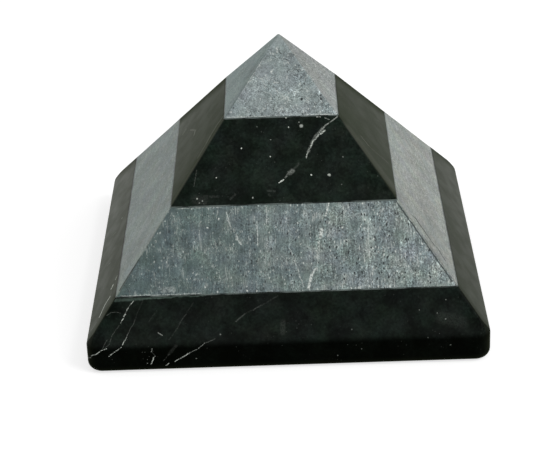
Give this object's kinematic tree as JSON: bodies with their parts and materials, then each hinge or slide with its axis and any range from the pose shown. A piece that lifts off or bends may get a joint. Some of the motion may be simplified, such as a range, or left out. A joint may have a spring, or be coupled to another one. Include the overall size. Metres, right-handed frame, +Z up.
{
  "type": "layered stone pyramid",
  "caption": "Square pyramid of alternating dark shungite and grey soapstone layers, glued and ground flush, on a low upright plinth with softly rounded corners and a flat underside.",
  "frame": {"origin": "centre of the flat underside", "axes": "+Z up, from the underside to the tip; +X to the right and -Y to the front, square to the plinth's sides. The front is the side that faces the viewer in the picture."},
  "size_m": [0.07, 0.07, 0.0485],
  "materials": {
    "shungite": "satin",
    "soapstone": "matte",
    "epoxy": "satin"
  },
  "bodies": {
    "root": {"shungite_base_slab": "shungite", "lower_glue_line": "epoxy", "soapstone_lower_slab": "soapstone", "middle_glue_line": "epoxy", "shungite_upper_slab": "shungite", "upper_glue_line": "epoxy", "soapstone_tip": "soapstone"}
  },
  "joints": []
}
